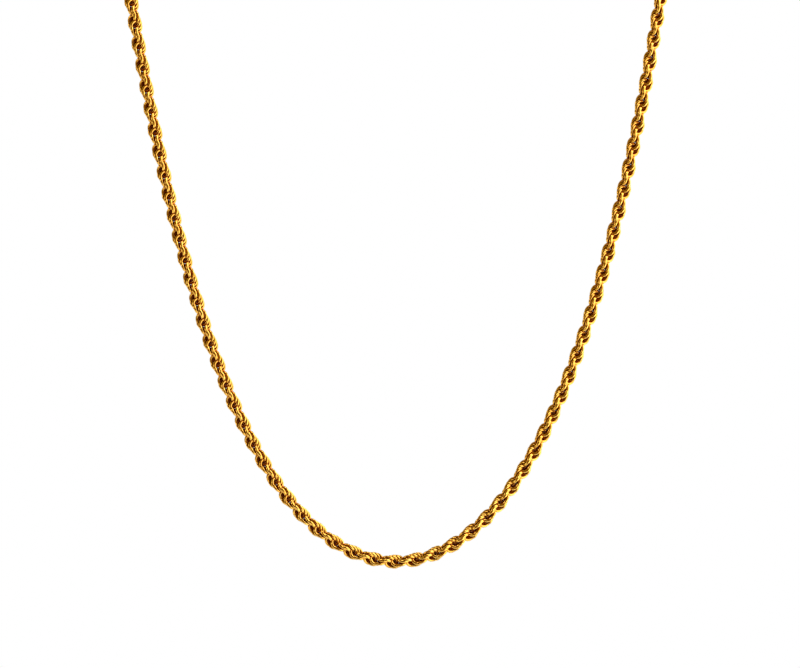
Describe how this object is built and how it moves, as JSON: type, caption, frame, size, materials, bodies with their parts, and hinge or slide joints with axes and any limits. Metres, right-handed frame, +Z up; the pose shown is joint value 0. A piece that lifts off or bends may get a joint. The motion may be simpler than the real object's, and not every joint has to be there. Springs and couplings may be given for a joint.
{
  "type": "rope chain necklace",
  "caption": "Gold rope chain necklace: twisted interlocked rings in one closed loop, hanging as a deep U from the neck, closed by a plain barrel clasp.",
  "frame": {"origin": "where the clasp's barrel touches the nape of the neck, in the middle of the loop's back", "axes": "+Z up, +X to the wearer's left, the front of the neck towards -Y"},
  "size_m": [0.1062, 0.0811, 0.134],
  "materials": {
    "gold_links": "polished yellow-gold plate over round brass wire, bright on the outside of each ring and dark where the rings cross",
    "gold_clasp": "turned and polished yellow-gold plate over brass, with fine lathe lines"
  },
  "bodies": {
    "root": {"rope_chain": "gold_links", "clasp": "gold_clasp"}
  },
  "joints": []
}
